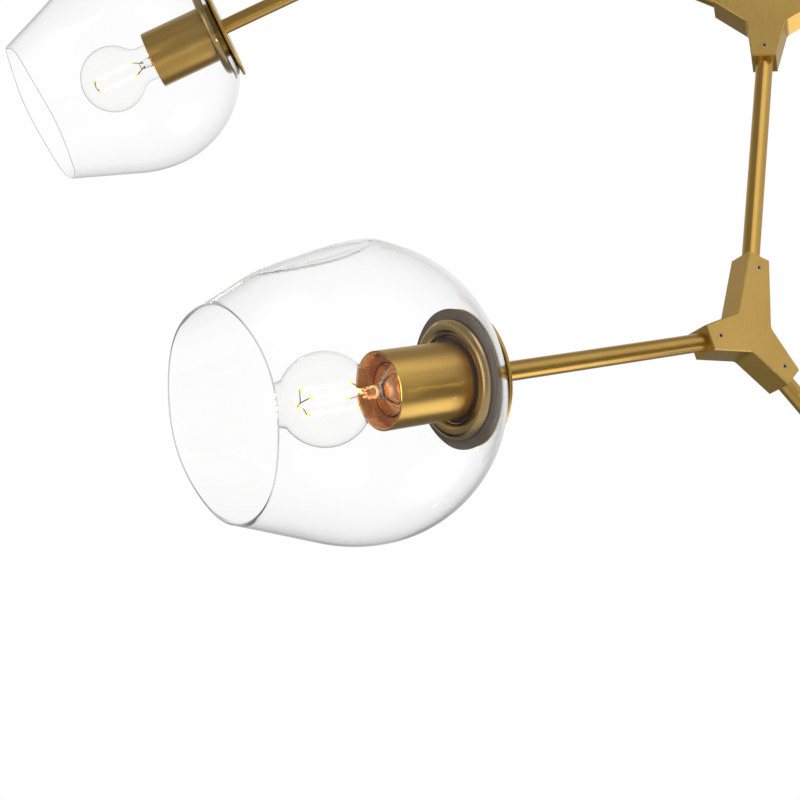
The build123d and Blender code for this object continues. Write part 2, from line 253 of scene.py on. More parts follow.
sky_level = patched(SKY_LEVEL, SKY_PATCHES)
through_glass = patched(SEEN_LEVEL, SEEN_PATCHES)
sky_path = add_node(sky, "ShaderNodeLightPath")
by_camera = sky_path.outputs["Is Camera Ray"]
only_glass = number_node(sky, "LESS_THAN", sky_path.outputs["Glossy Depth"], NO_REFLECTION)
straight_through = number_node(
    sky, "MULTIPLY", sky_path.outputs["Is Transmission Ray"], only_glass
)
seen_through = number_node(sky, "MULTIPLY", straight_through, through_glass)
seen_white = number_node(sky, "MAXIMUM", by_camera, seen_through)
seen_at_all = number_node(sky, "MAXIMUM", by_camera, straight_through)
sky_mix = add_node(sky, "ShaderNodeMix", {
    "Factor": seen_at_all, "A": sky_level, "B": seen_white,
}, data_type="FLOAT")
sky_light = add_node(sky, "ShaderNodeBackground", {
    "Color": (1, 1, 1, 1), "Strength": sky_mix.outputs["Result"],
})
add_node(sky, "ShaderNodeOutputWorld", {"Surface": sky_light.outputs["Background"]})
bpy.context.scene.view_settings.view_transform = "Standard"
print("world has", len(SKY_PATCHES), "patches for reflections")

# %% [markdown]
# ### Floor and lamps
# The light hangs, so the floor lies well below it and only closes the picture in views
# from above. Two large soft lamps give form and soft shadows. Reflections don't see
# floor or lamps, because the world already holds what the metal should show.

# %% Floor and lamps
FLOOR_Z = -2.1
FLOOR_HALF = 30.0
FLOOR_CORNERS = ((-1, -1), (1, -1), (1, 1), (-1, 1))
floor_mesh = bpy.data.meshes.new("floor")
floor_mesh.from_pydata(
    [(x * FLOOR_HALF, y * FLOOR_HALF, FLOOR_Z) for x, y in FLOOR_CORNERS], [], [(0, 1, 2, 3)],
)
floor = bpy.data.objects.new("floor", floor_mesh)
bpy.context.scene.collection.objects.link(floor)
floor.visible_glossy = False
floor.visible_transmission = False


def area_lamp(name, place, target, size, power):
    """Soft square lamp at a place, turned to a target."""
    data = bpy.data.lights.new(name, "AREA")
    data.size = size
    data.energy = power
    lamp = bpy.data.objects.new(name, data)
    lamp.location = place
    lamp.visible_glossy = False
    lamp.visible_transmission = False
    lamp.rotation_mode = "QUATERNION"
    lamp.rotation_quaternion = (Vector(target) - Vector(place)).to_track_quat("-Z", "Y")
    bpy.context.scene.collection.objects.link(lamp)


KEY_FROM_ROW, KEY_SIZE, KEY_POWER = Vector((1.6, -2.0, 1.0)), 1.4, 28
FILL_FROM_ROW, FILL_SIZE, FILL_POWER = Vector((-2.2, -1.0, 0.4)), 1.6, 12
row_middle = (cad_box[0] + cad_box[1]) / 2
area_lamp("key", row_middle + KEY_FROM_ROW, row_middle, KEY_SIZE, KEY_POWER)
area_lamp("fill", row_middle + FILL_FROM_ROW, row_middle, FILL_SIZE, FILL_POWER)
print("studio ready, floor at", FLOOR_Z)

# %% [markdown]
# ## Shared surface effects
# Two effects come back in several finishes, so each is a node group made once. Metal
# grain draws fine scratches that are stretched along one direction, and gives a height
# for bump, a roughness, and a tone for colour that blends a slow mottle with streaks.
# Glass ripple is the slow waviness that blowing leaves in a wall.


# %% Group helper
def new_group(name, inputs, outputs):
    """Empty shader group with named sockets."""
    group = bpy.data.node_groups.new(name, "ShaderNodeTree")
    for label, kind, value in inputs:
        socket = group.interface.new_socket(label, in_out="INPUT", socket_type=kind)
        if value is not None:
            socket.default_value = value
    for label, kind in outputs:
        group.interface.new_socket(label, in_out="OUTPUT", socket_type=kind)
    entry = group.nodes.new("NodeGroupInput")
    leave = group.nodes.new("NodeGroupOutput")
    return group, entry.outputs, leave


VECTOR, FLOAT = "NodeSocketVector", "NodeSocketFloat"
print("group helper ready")

# %% Metal grain
SCRATCH_DETAIL, MOTTLE_DETAIL = 3, 4
NOISE_MIDDLE = 0.5
metal_grain, grain_in, grain_out = new_group(
    "metal_grain",
    (
        ("Vector", VECTOR, None), ("Stretch", VECTOR, (1, 1, 1)), ("Fineness", FLOAT, 600.0),
        ("Roughness", FLOAT, 0.3), ("Spread", FLOAT, 0.1), ("Mottle Size", FLOAT, 40.0),
        ("Streaks", FLOAT, 0.0),
    ),
    (("Height", FLOAT), ("Roughness", FLOAT), ("Tone", FLOAT)),
)
stretched = add_node(metal_grain, "ShaderNodeVectorMath", {
    0: grain_in["Vector"], 1: grain_in["Stretch"],
}, operation="MULTIPLY")
scratches = add_node(metal_grain, "ShaderNodeTexNoise", {
    "Vector": stretched.outputs["Vector"], "Scale": grain_in["Fineness"], "Detail": SCRATCH_DETAIL,
})
mottle = add_node(metal_grain, "ShaderNodeTexNoise", {
    "Vector": grain_in["Vector"], "Scale": grain_in["Mottle Size"], "Detail": MOTTLE_DETAIL,
})
centred = number_node(metal_grain, "SUBTRACT", scratches.outputs["Fac"], NOISE_MIDDLE)
spread = number_node(metal_grain, "MULTIPLY", centred, grain_in["Spread"])
rough = number_node(metal_grain, "ADD", spread, grain_in["Roughness"], clamp=True)
streaked = add_node(metal_grain, "ShaderNodeMix", {
    "Factor": grain_in["Streaks"], "A": mottle.outputs["Fac"], "B": scratches.outputs["Fac"],
}, data_type="FLOAT")
feed(metal_grain, grain_out, {
    "Height": scratches.outputs["Fac"], "Roughness": rough, "Tone": streaked.outputs["Result"],
})
print("group", metal_grain.name, "has", len(metal_grain.nodes), "nodes")

# %% Glass ripple
WAVE_DETAIL = 1
glass_ripple, ripple_in, ripple_out = new_group(
    "glass_ripple",
    (("Vector", VECTOR, None), ("Wave Scale", FLOAT, 22.0), ("Depth", FLOAT, 0.001)),
    (("Normal", VECTOR),),
)
wave = add_node(glass_ripple, "ShaderNodeTexNoise", {
    "Vector": ripple_in["Vector"], "Scale": ripple_in["Wave Scale"], "Detail": WAVE_DETAIL,
})
wave_bump = add_node(glass_ripple, "ShaderNodeBump", {
    "Height": wave.outputs["Fac"], "Distance": ripple_in["Depth"],
})
feed(glass_ripple, ripple_out, {"Normal": wave_bump.outputs["Normal"]})
print("group", glass_ripple.name, "has", len(glass_ripple.nodes), "nodes")

# %% [markdown]
# ## Metal finishes
# The brass is brushed along the hubs, plain satin on rods, and polished on the
# retaining ring. On a cup the brush went round the axis, which blurs reflections along
# it: the shader is anisotropic, with its tangent from the lathe's UV map. The inside
# of a cup is painted a warm copper tone, a painted glow of the lit bulb. Rubber and
# plastic use the same recipe, not metallic.


# %% Metal recipe
def linear(red, green, blue):
    """Linear colour of a screen colour given from 0 to 255."""
    def one(value):
        share = value / 255
        return share / 12.92 if share <= 0.04045 else ((share + 0.055) / 1.055) ** 2.4
    return (one(red), one(green), one(blue), 1)


def new_material(name):
    """Material with an empty tree, its Principled shader and its output."""
    material = bpy.data.materials.new(name)
    material.use_nodes = True
    tree = material.node_tree
    tree.nodes.clear()
    shader = add_node(tree, "ShaderNodeBsdfPrincipled")
    output = add_node(tree, "ShaderNodeOutputMaterial", {"Surface": shader.outputs["BSDF"]})
    return material, tree, shader, output


EVEN, ROUND_AXIS, UPRIGHT = (1, 1, 1), (0.02, 1, 1), (1, 1, 0.05)
QUARTER_TURN = 0.25


def grained(name, light, dark, roughness, spread, fineness, bump, stretch=EVEN,
            coordinate="Object", mottle_size=40.0, metallic=1.0, brushed=0.0, streaks=0.0):
    """Metal grain: tones by mottle and streaks, roughness and bump by scratches."""
    material, tree, shader, _ = new_material(name)
    place = add_node(tree, "ShaderNodeTexCoord")
    if brushed:
        round_axis = add_node(tree, "ShaderNodeTangent", direction_type="UV_MAP", uv_map="turning")
        feed(tree, shader, {
            "Tangent": round_axis.outputs["Tangent"],
            "Anisotropic": brushed, "Anisotropic Rotation": QUARTER_TURN,
        })
    grain = add_node(tree, "ShaderNodeGroup", {
        "Vector": place.outputs[coordinate], "Stretch": stretch, "Fineness": fineness,
        "Roughness": roughness, "Spread": spread, "Mottle Size": mottle_size, "Streaks": streaks,
    }, node_tree=metal_grain)
    tones = add_node(tree, "ShaderNodeMix", {
        "Factor": grain.outputs["Tone"], "A": dark, "B": light,
    }, data_type="RGBA")
    relief = add_node(tree, "ShaderNodeBump", {
        "Height": grain.outputs["Height"], "Distance": bump * MM,
    })
    feed(tree, shader, {
        "Base Color": tones.outputs["Result"], "Metallic": metallic,
        "Roughness": grain.outputs["Roughness"], "Normal": relief.outputs["Normal"],
    })
    return material


print("metal recipe ready")

# %% Brass and painted copper glow
BRASS_LIGHT = linear(214, 175, 98)
BRASS_DARK = linear(198, 157, 80)
hub_brass = grained(
    "hub_brass", linear(240, 203, 118), linear(186, 146, 76), roughness=0.34, spread=0.2,
    fineness=1900, bump=0.03, stretch=UPRIGHT, mottle_size=25.0, streaks=0.4,
)
rod_brass = grained(
    "rod_brass", BRASS_LIGHT, BRASS_DARK, roughness=0.29, spread=0.0, fineness=700, bump=0.0,
)
cup_brass = grained(
    "cup_brass", BRASS_LIGHT, BRASS_DARK, roughness=0.3, spread=0.08,
    fineness=900, bump=0.008, stretch=ROUND_AXIS, coordinate="UV", brushed=0.85,
)
ring_brass = grained(
    "ring_brass", linear(206, 174, 114), linear(184, 153, 97), roughness=0.1, spread=0.06,
    fineness=700, bump=0.004, stretch=ROUND_AXIS, coordinate="UV",
)
# Painted glow: this warm copper tone stands for the lit bulb's light on the inside of cups and
# caps.
cup_copper_glow = grained(
    "cup_copper_glow", linear(255, 206, 160), linear(240, 164, 112), roughness=0.2, spread=0.12,
    fineness=700, bump=0.02, stretch=ROUND_AXIS, coordinate="UV", metallic=0.7,
)
print("brass and copper ready")

# %% Steel, zinc, rubber and sleeves
steel = grained(
    "screw_steel", linear(206, 202, 194), linear(160, 156, 148), roughness=0.2, spread=0.1,
    fineness=1500, bump=0.01,
)
bracket_zinc = grained(
    "bracket_zinc", linear(196, 194, 188), linear(150, 148, 142), roughness=0.36, spread=0.15,
    fineness=900, bump=0.01,
)
cap_metal = grained(
    "cap_metal", linear(206, 200, 190), linear(176, 168, 154), roughness=0.26, spread=0.1,
    fineness=900, bump=0.01,
)
lead_metal = grained(
    "lead_metal", linear(150, 96, 70), linear(110, 66, 48), roughness=0.3, spread=0.1,
    fineness=900, bump=0.0,
)
rubber = grained(
    "gasket_rubber", linear(118, 102, 82), linear(66, 56, 45), roughness=0.5, spread=0.2,
    fineness=500, bump=0.06, mottle_size=120.0, metallic=0.0,
)
holder_brown = grained(
    "holder_brown", linear(132, 78, 50), linear(100, 56, 36), roughness=0.3, spread=0.1,
    fineness=400, bump=0.02, metallic=0.0,
)
# Dark sleeve finish for the wiring; it also paints shade into the ring's groove and the screw
# sockets.
sleeve_and_painted_shade = grained(
    "sleeve_and_painted_shade", linear(60, 54, 48), linear(42, 38, 34), roughness=0.55, spread=0.1,
    fineness=400, bump=0.02, metallic=0.0,
)
print("metal finishes ready")

# %% [markdown]
# ## Glass
# The index of real glass made the edges of these thin walls heavier and darker than in
# the photo, so shade and bulb have a lower one. The flare in the bulb's neck keeps
# nearly the real index, because the painted copper glow it bends is what one sees
# there. Lamp rays pass through to what is behind, and a ray that is trapped in a thin
# wall goes straight on, so that rims stay bright.

# %% Glass
TRAPPED_DEPTH = 5.5


def clear_glass(name, colour, wave_scale, wave_depth, ior):
    """Clear glass that lets lamp rays through, so that they reach what is behind it."""
    material, tree, shader, output = new_material(name)
    place = add_node(tree, "ShaderNodeTexCoord")
    ripple = add_node(tree, "ShaderNodeGroup", {
        "Vector": place.outputs["Object"], "Wave Scale": wave_scale, "Depth": wave_depth,
    }, node_tree=glass_ripple)
    feed(tree, shader, {
        "Base Color": colour, "Roughness": 0.0, "IOR": ior, "Transmission Weight": 1.0,
        "Normal": ripple.outputs["Normal"],
    })
    path = add_node(tree, "ShaderNodeLightPath")
    trapped = number_node(tree, "GREATER_THAN", path.outputs["Ray Depth"], TRAPPED_DEPTH)
    straight = number_node(tree, "MAXIMUM", path.outputs["Is Shadow Ray"], trapped)
    through = add_node(tree, "ShaderNodeBsdfTransparent")
    mix = add_node(tree, "ShaderNodeMixShader", {
        "Fac": straight, 1: shader.outputs["BSDF"], 2: through.outputs["BSDF"],
    })
    feed(tree, output, {"Surface": mix.outputs["Shader"]})
    return material


shade_glass = clear_glass(
    "shade_glass", (0.996, 0.998, 0.997, 1), wave_scale=18, wave_depth=0.0005, ior=1.18,
)
# Painted shade: the rim's darker grey-green glass stands for the line seen along a glass edge.
rim_edge_shade_glass = clear_glass(
    "rim_edge_shade_glass", (0.42, 0.46, 0.44, 1), wave_scale=18, wave_depth=0.0005, ior=1.18,
)
bulb_glass = clear_glass(
    "bulb_glass", (0.98, 0.984, 0.976, 1), wave_scale=30, wave_depth=0.0002, ior=1.08,
)
flare_glass = clear_glass(
    "flare_glass", (0.99, 0.985, 0.98, 1), wave_scale=60, wave_depth=0.0004, ior=1.4,
)
print("four kinds of glass ready")

# %% [markdown]
# ## Light and floor paint
# The bulbs are lit in the photo. Each filament gives light through its emission, with
# dimmer ends. The floor paint is pale, and glows a little for the camera alone, so that
# the ground reads as white without any more light on the lamp.

# %% Light and floor paint
GLOW_MOTTLE, GLOW_LIFT = 500.0, 1.15


def glowing(name, colour, strength):
    """Phosphor that gives light, a little uneven along its length."""
    material, tree, shader, _ = new_material(name)
    place = add_node(tree, "ShaderNodeTexCoord")
    grain = add_node(tree, "ShaderNodeGroup", {
        "Vector": place.outputs["Object"], "Mottle Size": GLOW_MOTTLE,
    }, node_tree=metal_grain)
    tones = add_node(tree, "ShaderNodeMix", {
        "Factor": grain.outputs["Tone"],
        "A": colour, "B": [min(1, GLOW_LIFT * c) for c in colour],
    }, data_type="RGBA")
    feed(tree, shader, {
        "Base Color": colour, "Roughness": 0.5,
        "Emission Color": tones.outputs["Result"], "Emission Strength": strength,
    })
    return material


filament_lit = glowing("filament_lit", (1.0, 0.78, 0.4, 1), strength=24.0)
filament_end = glowing("filament_end", (1.0, 0.6, 0.12, 1), strength=1.1)

FLOOR_GREY, FLOOR_GLOW, FLOOR_ROUGHNESS = 0.42, 0.74, 0.8
floor_paint, floor_tree, floor_shader, _ = new_material("floor_paint")
floor_path = add_node(floor_tree, "ShaderNodeLightPath")
seen_glow = number_node(floor_tree, "MULTIPLY", floor_path.outputs["Is Camera Ray"], FLOOR_GLOW)
feed(floor_tree, floor_shader, {
    "Base Color": (FLOOR_GREY, FLOOR_GREY, FLOOR_GREY, 1), "Roughness": FLOOR_ROUGHNESS,
    "Emission Color": (1, 1, 1, 1), "Emission Strength": seen_glow,
})
floor.data.materials.append(floor_paint)
print("light and floor paint ready")

# %% [markdown]
# ## Turned pieces
# Cups, rings, gaskets, bulbs and caps are round about the lamp's axis. A lathe
# helper turns a closed outline of (radius, height) points, in millimetres, and keeps
# a UV map with U round the axis and V along the outline, so that brushing follows the
# turning. One turned mesh is copied to each lamp of a body and joined into one piece.

# %% Lathe
UV_PER_TURN = 0.1
MERGE_WITHIN, COLLAPSE_WITHIN = 1e-7, 1e-8


def turned(name, outline, finishes, segments=72, sharp=35):
    """Mesh of a closed outline turned about Z. Each point is (radius, height, finish)."""
    points = [(r * MM, h * MM, f) for r, h, f in outline]
    build = bmesh.new()
    layer = build.loops.layers.uv.new("turning")
    rings = []
    for radius, height, _ in points:
        ring = []
        for step in range(segments):
            turn = 2 * math.pi * step / segments
            ring.append(build.verts.new(
                (radius * math.cos(turn), radius * math.sin(turn), height)
            ))
        rings.append(ring)
    run = 0.0
    for index, (radius, height, finish) in enumerate(points):
        following = (index + 1) % len(points)
        rise = math.hypot(points[following][0] - radius, points[following][1] - height)
        for step in range(segments):
            after = (step + 1) % segments
            face = build.faces.new((
                rings[index][step], rings[index][after],
                rings[following][after], rings[following][step],
            ))
            face.smooth = True
            face.material_index = finish
            shares = ((step, run), (step + 1, run), (step + 1, run + rise), (step, run + rise))
            for loop, (across, length) in zip(face.loops, shares):
                loop[layer].uv = (across / segments * UV_PER_TURN, length)
        run += rise
    bmesh.ops.remove_doubles(build, verts=build.verts, dist=MERGE_WITHIN)
    bmesh.ops.dissolve_degenerate(build, edges=build.edges, dist=COLLAPSE_WITHIN)
    on_axis = [edge for edge in build.edges if not edge.link_faces]
    bmesh.ops.delete(build, geom=on_axis, context="EDGES")
    bmesh.ops.recalc_face_normals(build, faces=build.faces)
    mesh = bpy.data.meshes.new(name)
    build.to_mesh(mesh)
    build.free()
    mesh.set_sharp_from_angle(angle=math.radians(sharp))
    for material in finishes:
        mesh.materials.append(material)
    return mesh


def arc(centre, radius, start, end, count, finish=0, squash=1.0):
    """Points of an arc in (radius, height), from one angle to another in degrees."""
    points = []
    for step in range(count + 1):
        turn = math.radians(start + (end - start) * step / count)
        points.append((
            centre[0] + radius * math.cos(turn),
            centre[1] + squash * radius * math.sin(turn), finish,
        ))
    return points


print("lathe ready")


# %% Placing helpers
def join_copies(name, mesh, places):
    """One object that holds a copy of the mesh at each place."""
    build = bmesh.new()
    for place in places:
        copy = mesh.copy()
        copy.transform(place)
        build.from_mesh(copy)
        bpy.data.meshes.remove(copy)
    joined = bpy.data.meshes.new(name)
    build.to_mesh(joined)
    build.free()
    for material in mesh.materials:
        joined.materials.append(material)
    piece = bpy.data.objects.new(name, joined)
    bpy.context.scene.collection.objects.link(piece)
    return piece


GROUP_BODY = {"upper": "frame", "left": "left_drop", "right": "right_drop"}


def dress_groups(kind, mesh, new_name):
    """Replace a kind of lamp fitting on all three groups of lamps."""
    for group, body in GROUP_BODY.items():
        places = [lamp["place"] for lamp in lamps.values() if lamp["group"] == group]
        piece = join_copies(f"{group}_{new_name}", mesh, places)
        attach(piece, body)
        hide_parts(f"{group}_{kind}")


def dress_bulbs(mesh, new_name, kind=None):
    """Put a piece on every bulb, beside its nodes or in place of the one of a kind."""
    for number, lamp in lamps.items():
        piece = join_copies(f"{new_name}_{number}", mesh, [lamp["place"]])
        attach(piece, f"bulb_{number}")
        if kind:
            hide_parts(f"{kind}_{number}")


print("placing helpers ready for", len(lamps), "lamps")

# %% [markdown]
# ## Lamp fittings
# On the real lamp a straight brass cup stands through the hole of the glass, a domed
# ring screws down over it, and a grey rubber washer keeps metal off glass. The ring's
# dome is polished, with a thin bright lip on its inner side and a dark gap round the
# cup, whose groove is painted dark as shade. The cup's mouth is rolled over a little,
# and inside it is painted a warm copper tone, a painted glow of the lit bulb.

# %% Cups
GLASS_BACK = 194.0
CUP_R, CUP_WALL, CUP_FLOOR, CUP_MOUTH = 19.0, 1.2, 196.0, 245.0
ROD_R = 5.05
LIP = 0.35
# INSIDE faces take the painted copper glow of the lit bulb.
OUTSIDE, INSIDE = 0, 1
cup_outline = [
    (ROD_R, GLASS_BACK, OUTSIDE), (CUP_R, GLASS_BACK, OUTSIDE),
    *arc((CUP_R - LIP, CUP_MOUTH - LIP), LIP, 0, 90, 4),
    *arc((CUP_R - CUP_WALL + LIP, CUP_MOUTH - LIP), LIP, 90, 180, 4, INSIDE),
    (CUP_R - CUP_WALL, CUP_FLOOR, INSIDE), (ROD_R, CUP_FLOOR, INSIDE),
]
cup_mesh = turned("cup", cup_outline, [cup_brass, cup_copper_glow])
dress_groups("cups", cup_mesh, "lamp_cups")
print("cup is", CUP_MOUTH - GLASS_BACK, "mm high")

# %% Retaining rings
RING_BACK, RING_FLANGE, RING_CREST = 199.3, 200.5, 203.9
RING_IN, GROOVE_R, DOME_R = 19.1, 21.5, 29.8
DOME_MIDDLE = (GROOVE_R + DOME_R) / 2
DOME_HALF = (DOME_R - GROOVE_R) / 2
DOME_SQUASH = (RING_CREST - RING_FLANGE) / DOME_HALF
LIP_WIDTH, LIP_TOP, LIP_SHOULDER = 0.5, 1.2, 1.0
# The groove's faces take the dark sleeve finish: painted shade in the gap round the cup.
POLISHED, SHADED_GAP = 0, 1
ring_outline = [
    (RING_IN, RING_BACK, POLISHED), (DOME_R, RING_BACK, POLISHED),
    *arc((DOME_MIDDLE, RING_FLANGE), DOME_HALF, 0, 168, 24, POLISHED, DOME_SQUASH),
    (GROOVE_R + 0.05, RING_FLANGE + LIP_TOP, POLISHED),
    (GROOVE_R - LIP_WIDTH, RING_FLANGE + LIP_SHOULDER, SHADED_GAP),
    (GROOVE_R - LIP_WIDTH, RING_FLANGE, SHADED_GAP),
    (RING_IN, RING_FLANGE, SHADED_GAP),
]
ring_mesh = turned("ring", ring_outline, [ring_brass, sleeve_and_painted_shade], segments=96)
dress_groups("rings", ring_mesh, "lamp_rings")
print("ring dome is", round(2 * DOME_HALF, 1), "mm wide")

# %% Gaskets
GASKET_BACK, GASKET_R, GASKET_EDGE = 198.5, 34.6, 0.3
gasket_outline = [
    (RING_IN, GASKET_BACK, 0), (GASKET_R, GASKET_BACK, 0),
    *arc((GASKET_R - GASKET_EDGE, RING_BACK - GASKET_EDGE), GASKET_EDGE, 0, 90, 4),
    (RING_IN, RING_BACK, 0),
]
gasket_mesh = turned("gasket", gasket_outline, [rubber], segments=96)
dress_groups("gaskets", gasket_mesh, "lamp_gaskets")
print("cups, rings and gaskets on", len(lamps), "lamps")

# %% [markdown]
# ## Bubble shades
# Each shade is a blown bubble with an open mouth, and one side was pressed in while
# the glass was soft. A sculpted mesh would serve too, but sizes that can be read and
# changed are kept here: the outline is two arcs that meet at the belly, and arrays
# hold the radius of every point of the skin.

# %% Outline of the bubble
HOLE_R, SEAT_R, BELLY_R, MOUTH_R = 20.0, 29.0, 70.4, 49.0
BELLY_L, MOUTH_L = 256.0, 329.5
FRONT_ARC = 85.0
BACK_REACH, BACK_DROP = BELLY_L - GLASS_BACK, BELLY_R - SEAT_R
BACK_ARC = (BACK_REACH**2 + BACK_DROP**2) / (2 * BACK_DROP)
FRONT_RISE, FRONT_ASIDE = MOUTH_L - BELLY_L, MOUTH_R - BELLY_R + FRONT_ARC
FRONT_TURN = math.atan2(FRONT_RISE, FRONT_ASIDE) - math.acos(
    FRONT_ARC / math.hypot(FRONT_ASIDE, FRONT_RISE)
)


def skin_radius(height, inset):
    """Radius of the outer skin, or of the inner one at an inset, at some height."""
    lift = height - BELLY_L
    behind = lift < 0
    reach = np.where(behind, BACK_ARC, FRONT_ARC) - inset
    middle = BELLY_R - inset - reach
    straight = lift - reach * math.sin(FRONT_TURN)
    on_arc = middle + np.sqrt(np.maximum(reach**2 - lift**2, 0))
    on_taper = middle + reach * math.cos(FRONT_TURN) - straight * math.tan(FRONT_TURN)
    return np.where(straight > 0, on_taper, on_arc)


print("arcs of", round(BACK_ARC, 1), "and", FRONT_ARC, "mm meet at the belly")

# %% [markdown]
# ### Pressed side and waves
# A flat tool is taken off the skin with a soft minimum, which leaves the rolled lip of
# the dent and a slightly raised shoulder beside it. Slow waves keep the wall from
# looking machine made. They are sums of sines, so every run gives the same glass.

# %% Pressed side
DENT_L, DENT_DEPTH, DENT_TILT = 282.0, 3.75, -0.16
DENT_TURN = math.radians(-20.5)
TOOL_ROUND, DENT_LIP = 230.0, 3.8
SHOULDER, SHOULDER_WIDTH = 1.0, 5.5
EDGE_ON = 0.05


def pressed(radius, height, turn, inset):
    """Skin radius with a flat tool pressed in: a soft minimum, and a raised shoulder."""
    run = height - DENT_L
    floor = skin_radius(np.array(DENT_L), 0.0) - DENT_DEPTH - inset
    floor = floor + DENT_TILT * run + run**2 / (2 * TOOL_ROUND)
    facing = np.maximum(np.cos(turn - DENT_TURN), EDGE_ON)
    tool = floor / facing
    depth = radius - tool
    raised = radius + SHOULDER * np.exp(-((depth / SHOULDER_WIDTH) ** 2))
    near = np.maximum(DENT_LIP - np.abs(depth), 0) / DENT_LIP
    return np.minimum(raised, tool) - near**2 * DENT_LIP / 4


print("dent", DENT_DEPTH, "mm deep at", DENT_L, "mm from the hub")

# %% Waves of the wall
EVEN_TO = 25
OVAL, OVAL_TURN = 0.5, 0.7
THREE_SIDED, THREE_TURN, THREE_TWIST = 0.3, 2.1, 40
FULL_TOP, TOP_TURN = 0.6, math.radians(-14)


def hand_blown(turn, height):
    """Slow unevenness of the wall, in millimetres, growing towards the mouth."""
    length = MOUTH_L - GLASS_BACK
    share = np.clip((height - GLASS_BACK - EVEN_TO) / length, 0, 1)
    oval = OVAL * np.sin(2 * turn + OVAL_TURN)
    waves = oval + THREE_SIDED * np.sin(3 * turn + THREE_TURN + height / THREE_TWIST)
    from_top = turn - TOP_TURN
    fuller = np.sin(np.pi * np.clip((height - GLASS_BACK) / length, 0, 1))
    return share * waves + FULL_TOP * fuller * (np.cos(from_top) + np.cos(2 * from_top))


print("waves of", OVAL, "and", THREE_SIDED, "mm")

# %% [markdown]
# ### Wall and rim
# The wall is real: an outer and an inner skin, joined at the hole and round the rim. It
# thins towards the mouth, where the rim rises and falls a little. The rim's faces take
# a darker grey-green glass, a painted shade for the line that glass shows when one
# looks along it.

# %% Skins
WALL, RIM_WALL = 1.6, 0.9
THICK_TO = 206.0
RIM_SWAY, RIM_SWAY_TURN, RIM_RIPPLE = 0.5, 1.0, 0.35
SHADE_SEGMENTS, SHADE_ROWS = 160, 56
shade_turns = np.linspace(0, 2 * np.pi, SHADE_SEGMENTS, endpoint=False)


def shade_skin(inset, heights):
    """Rows of points of one skin, from the seat to the mouth."""
    turn = shade_turns[None, :]
    height = np.array(heights)[:, None]
    radius = skin_radius(height, inset) + 0 * turn
    radius = pressed(radius, height, turn, inset) + hand_blown(turn, height)
    if inset:
        thinned = np.clip((height - THICK_TO) / (BELLY_L - THICK_TO), 0, 1)
        radius = radius + thinned * (WALL - RIM_WALL)
    lift = np.clip((height - BELLY_L) / (MOUTH_L - BELLY_L), 0, 1) ** 3
    sway = RIM_SWAY * np.sin(2 * turn + RIM_SWAY_TURN)
    height = height + lift * (sway + RIM_RIPPLE * np.sin(5 * turn))
    return np.stack(
        [radius * np.cos(turn), radius * np.sin(turn), height + 0 * turn], axis=2
    )


def seat_rows(radii, height):
    """Flat rows of the seat at some radii."""
    across, aside = np.cos(shade_turns), np.sin(shade_turns)
    flat = np.full_like(shade_turns, height)
    return [np.stack([r * across, r * aside, flat], axis=1) for r in radii]


RIM_R = RIM_WALL / 2
EVEN_ROWS, CLOSING_ROWS = 0.55, 0.45
SEAT_CLEAR = 0.3
share = np.linspace(0, 1, SHADE_ROWS)
row_shares = share * EVEN_ROWS + CLOSING_ROWS * share**2
outer_heights = GLASS_BACK + (MOUTH_L - RIM_R - GLASS_BACK) * row_shares
inner_heights = outer_heights[outer_heights > GLASS_BACK + WALL + SEAT_CLEAR]
outer_rows = list(shade_skin(0.0, outer_heights))
inner_rows = list(shade_skin(WALL, inner_heights))
print("skins have", len(outer_rows), "and", len(inner_rows), "rows")

# %% Rim, seat and mesh
RIM_ANGLES = np.radians(np.linspace(25, 155, 5))
OUTER_SEAT, INNER_SEAT = (HOLE_R, 23.0, 26.0), (25.5, 23.0, HOLE_R)
SHADE_SHARP = math.radians(50)
seat_edge = skin_radius(np.array(GLASS_BACK + WALL), WALL)
rim_rows = []
for turn in RIM_ANGLES:
    along_wall = (1 - np.cos(turn)) / 2
    base = outer_rows[-1] * (1 - along_wall) + inner_rows[-1] * along_wall
    base[:, 2] += RIM_R * np.sin(turn)
    rim_rows.append(base)
rows = seat_rows(OUTER_SEAT, GLASS_BACK)
rim_from = len(rows) + len(outer_rows) - 1
rim_to = rim_from + len(rim_rows)
rows += outer_rows + rim_rows + inner_rows[::-1]
rows += seat_rows((seat_edge, *INNER_SEAT), GLASS_BACK + WALL)

shade_build = bmesh.new()
shade_rings = [[shade_build.verts.new(Vector(p) * MM) for p in row] for row in rows]
for index, ring in enumerate(shade_rings):
    following = shade_rings[(index + 1) % len(shade_rings)]
    for step in range(SHADE_SEGMENTS):
        after = (step + 1) % SHADE_SEGMENTS
        face = shade_build.faces.new((ring[step], ring[after], following[after], following[step]))
        face.smooth = True
        # The rim's faces take the second finish, the painted edge shade.
        face.material_index = int(rim_from <= index <= rim_to)
bmesh.ops.recalc_face_normals(shade_build, faces=shade_build.faces)
shade_mesh = bpy.data.meshes.new("shade")
shade_build.to_mesh(shade_mesh)
shade_build.free()
shade_mesh.set_sharp_from_angle(angle=SHADE_SHARP)
shade_mesh.materials.append(shade_glass)
shade_mesh.materials.append(rim_edge_shade_glass)
for number, lamp in lamps.items():
    shade = join_copies(f"bubble_shade_{number}", shade_mesh, [lamp["place"]])
    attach(shade, lamp["body"])
    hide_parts(f"glass_shade_{number}")
print("shade has", len(shade_mesh.polygons), "faces")

# %% [markdown]
# ## Bulbs
# The bulb is a clear ball with a necked foot in a screw cap. Its envelope is turned
# from three curves, a straight neck, a throat and the ball, with a thin wall. What is
# inside it, and its cap, follow further down.

